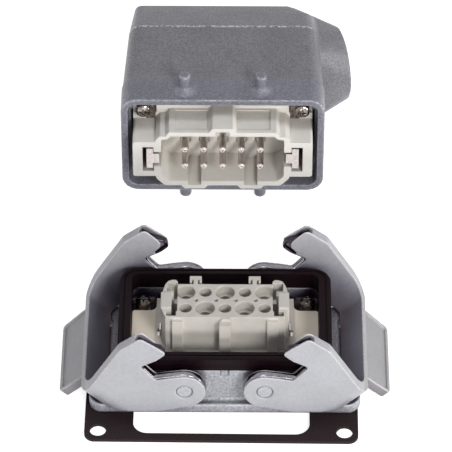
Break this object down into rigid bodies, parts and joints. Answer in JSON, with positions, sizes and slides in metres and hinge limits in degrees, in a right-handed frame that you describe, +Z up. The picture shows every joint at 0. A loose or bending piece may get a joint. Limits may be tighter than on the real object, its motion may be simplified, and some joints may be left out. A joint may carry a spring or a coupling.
{
  "type": "heavy duty rectangular connector",
  "caption": "Heavy duty rectangular connector: bulkhead housing with socket insert and two hinged locking levers, flange gasket, and a side-entry hood with pin insert lying behind it.",
  "frame": {"origin": "centre of the four flange holes, on the underside of the housing's flange", "axes": "+X along the connector towards the hood's cable entry, +Y from the housing to the hood that lies behind it, +Z up through the housing"},
  "size_m": [0.1138, 0.1805, 0.057],
  "materials": {
    "housing_casting": "fine powder coat, light grey",
    "hood_paint": "fine-grained powder coat, grey",
    "lever_casting": "smooth satin, light grey",
    "seal_rubber": "matt black",
    "gasket_rubber": "matt black",
    "spring_steel": "bright dark spring steel",
    "pivot_steel": "turned steel",
    "insert_plastic": "moulded, light grey",
    "silvered_contact": "silver plated",
    "nickel_plated_steel": "nickel plated"
  },
  "bodies": {
    "connector": {"housing_shell": "housing_casting", "housing_seal": "seal_rubber", "flange_gasket": "gasket_rubber", "pivot_pin_left_front": "pivot_steel", "pivot_pin_left_back": "pivot_steel", "pivot_pin_right_front": "pivot_steel", "pivot_pin_right_back": "pivot_steel", "socket_insert": "insert_plastic", "socket_earth_plate_left": "nickel_plated_steel", "socket_earth_plate_right": "nickel_plated_steel", "socket_earth_spring_left": "silvered_contact", "socket_earth_spring_right": "silvered_contact", "socket_fixing_screws": "nickel_plated_steel", "socket_fixing_washers": "nickel_plated_steel", "socket_terminal_screws": "nickel_plated_steel", "socket_contact_1": "silvered_contact", "socket_contact_2": "silvered_contact", "socket_contact_3": "silvered_contact", "socket_contact_4": "silvered_contact", "socket_contact_5": "silvered_contact", "socket_contact_6": "silvered_contact", "socket_contact_7": "silvered_contact", "socket_contact_8": "silvered_contact", "socket_contact_9": "silvered_contact", "socket_contact_10": "silvered_contact", "hood_shell": "hood_paint", "pin_insert": "insert_plastic", "pin_earth_plate_left": "nickel_plated_steel", "pin_earth_plate_right": "nickel_plated_steel", "pin_earth_blade_left": "silvered_contact", "pin_earth_blade_right": "silvered_contact", "pin_fixing_screws": "nickel_plated_steel", "pin_fixing_washers": "nickel_plated_steel", "pin_terminal_screws": "nickel_plated_steel", "pin_contact_1": "silvered_contact", "pin_contact_2": "silvered_contact", "pin_contact_3": "silvered_contact", "pin_contact_4": "silvered_contact", "pin_contact_5": "silvered_contact", "pin_contact_6": "silvered_contact", "pin_contact_7": "silvered_contact", "pin_contact_8": "silvered_contact", "pin_contact_9": "silvered_contact", "pin_contact_10": "silvered_contact"},
    "left_lever": {"lever_left": "lever_casting", "lever_spring_left_front": "spring_steel", "lever_spring_left_back": "spring_steel"},
    "right_lever": {"lever_right": "lever_casting", "lever_spring_right_front": "spring_steel", "lever_spring_right_back": "spring_steel"}
  },
  "joints": [
    {"name": "left_lever_hinge", "type": "hinge", "parent": "connector", "child": "left_lever", "pos_m": [-0.0136, 0, 0.0144], "axis": [0, 1, 0], "range_deg": [0, 45]},
    {"name": "right_lever_hinge", "type": "hinge", "parent": "connector", "child": "right_lever", "pos_m": [0.0136, 0, 0.0144], "axis": [0, -1, 0], "range_deg": [0, 45]}
  ]
}
